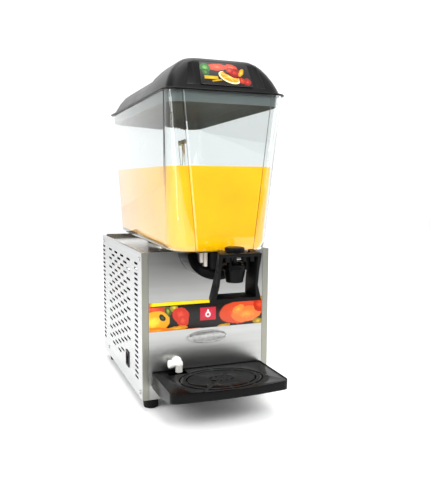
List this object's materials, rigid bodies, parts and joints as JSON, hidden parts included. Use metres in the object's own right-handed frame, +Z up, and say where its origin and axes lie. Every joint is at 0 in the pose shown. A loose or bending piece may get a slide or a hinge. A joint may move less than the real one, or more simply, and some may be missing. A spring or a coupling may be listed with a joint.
{
  "type": "beverage dispenser",
  "caption": "Refrigerated juice dispenser with a stainless cabinet, a clear overhanging bowl, a push-lever tap, a lift-off lid and a slide-out drip tray.",
  "frame": {"origin": "middle of the whole object's footprint, on the surface that the feet stand on", "axes": "+Z up, the front with the tap and tray faces -Y, +X to the right of a person facing the front"},
  "size_m": [0.244, 0.519, 0.598],
  "materials": {
    "brushed_stainless": "brushed, number 4 finish",
    "polished_stainless": "fine polished",
    "galvanised_sheet": "galvanised, matt",
    "zinc_steel": "bright zinc",
    "black_paint": "semi-gloss enamel",
    "fin_aluminium": "mill finish",
    "copper_tube": "bright drawn copper",
    "black_plastic": "moulded, satin",
    "black_gloss_plastic": "moulded, glossy",
    "white_plastic": "moulded, satin",
    "natural_nylon": "moulded, natural",
    "red_rocker": "translucent red lens",
    "printed_film": "printed and laminated",
    "clear_polycarbonate": "moulded clear",
    "black_rubber": "matt",
    "white_foam": "closed-cell foam",
    "ferrite": "sintered, matt"
  },
  "bodies": {
    "cabinet": {"side_panel_left": "brushed_stainless", "side_panel_right": "brushed_stainless", "front_panel": "brushed_stainless", "rear_panel": "brushed_stainless", "base_pan": "galvanised_sheet", "top_deck": "brushed_stainless", "feet": "black_rubber", "foot_bolts": "zinc_steel", "side_screws": "zinc_steel", "rear_screws": "zinc_steel", "switch_bezel": "black_plastic", "picture_strip": "printed_film", "oval_badge": "brushed_stainless", "drain_elbow": "white_plastic", "thermostat": "black_plastic", "mains_inlet": "black_plastic", "compressor": "black_paint", "compressor_mounts": "black_rubber", "terminal_box": "black_plastic", "condenser_fins": "fin_aluminium", "condenser_tubes": "copper_tube", "fan_shroud": "galvanised_sheet", "fan_bracket": "galvanised_sheet", "fan_motor": "black_paint", "filter_drier": "copper_tube", "refrigerant_tubes": "copper_tube", "evaporator_drum": "polished_stainless", "evaporator_coil": "copper_tube", "deck_insulation": "white_foam", "pump_motor": "black_paint", "pump_cover": "white_plastic", "stand_pipe": "clear_polycarbonate", "spray_head": "white_plastic", "bowl_gasket": "black_rubber", "drip_collar": "black_plastic", "drain_hose": "white_plastic", "tray_rails": "zinc_steel"},
    "bowl": {"bowl": "clear_polycarbonate", "outlet_nut": "black_plastic", "outlet_gasket": "black_rubber", "outlet_clips": "natural_nylon", "tap_body": "black_plastic", "tap_gland": "black_plastic", "lever_pin": "zinc_steel", "tap_spring": "zinc_steel"},
    "piston": {"piston": "white_plastic", "piston_seal": "black_rubber", "piston_knob": "black_plastic"},
    "lever": {"lever": "black_plastic"},
    "lid": {"lid": "black_gloss_plastic", "lid_picture": "printed_film"},
    "drip_tray": {"drip_tray": "black_gloss_plastic"},
    "grate": {"grate": "black_gloss_plastic"},
    "rocker": {"rocker": "red_rocker"},
    "thermostat_knob": {"thermostat_knob": "black_plastic"},
    "fan_blade": {"fan_blade": "black_plastic"},
    "drive_magnet": {"drive_magnet": "ferrite"},
    "impeller": {"impeller": "white_plastic"}
  },
  "joints": [
    {"name": "bowl_lift", "type": "slide", "parent": "cabinet", "child": "bowl", "axis": [0, 0, 1], "range_m": [0, 0.24]},
    {"name": "lid_lift", "type": "slide", "parent": "bowl", "child": "lid", "axis": [0, 0, 1], "range_m": [0, 0.12]},
    {"name": "lever_push", "type": "hinge", "parent": "bowl", "child": "lever", "pos_m": [0, -0.2485, 0.282], "axis": [1, 0, 0], "range_deg": [0, 20]},
    {"name": "piston_rise", "type": "slide", "parent": "bowl", "child": "piston", "axis": [0, 0, 1], "range_m": [0, 0.0049], "stiffness_N_per_m": 120, "springref_m": -0.003, "deforming": ["tap_spring"]},
    {"name": "tray_slide", "type": "slide", "parent": "cabinet", "child": "drip_tray", "axis": [0, -1, 0], "range_m": [0, 0.15]},
    {"name": "grate_lift", "type": "slide", "parent": "drip_tray", "child": "grate", "axis": [0, 0, 1], "range_m": [0, 0.08]},
    {"name": "rocker_tip", "type": "hinge", "parent": "cabinet", "child": "rocker", "pos_m": [-0.113, 0.0002, 0.0639], "axis": [0, 1, 0], "range_deg": [-16, 0]},
    {"name": "knob_turn", "type": "hinge", "parent": "cabinet", "child": "thermostat_knob", "pos_m": [-0.08, 0.2475, 0.238], "axis": [0, -1, 0], "range_deg": [0, 270]},
    {"name": "fan_spin", "type": "hinge", "parent": "cabinet", "child": "fan_blade", "pos_m": [0, 0.1625, 0.116], "axis": [0, -1, 0], "continuous": true},
    {"name": "magnet_spin", "type": "hinge", "parent": "cabinet", "child": "drive_magnet", "pos_m": [0, 0.0475, 0.371], "axis": [0, 0, 1], "continuous": true},
    {"name": "impeller_spin", "type": "hinge", "parent": "cabinet", "child": "impeller", "pos_m": [0, 0.0475, 0.392], "axis": [0, 0, 1], "continuous": true}
  ],
  "couplings": [
    {"joint": "piston_rise", "follows": "lever_push", "m_per_rad": 0.013608},
    {"joint": "impeller_spin", "follows": "magnet_spin", "ratio": 1}
  ]
}
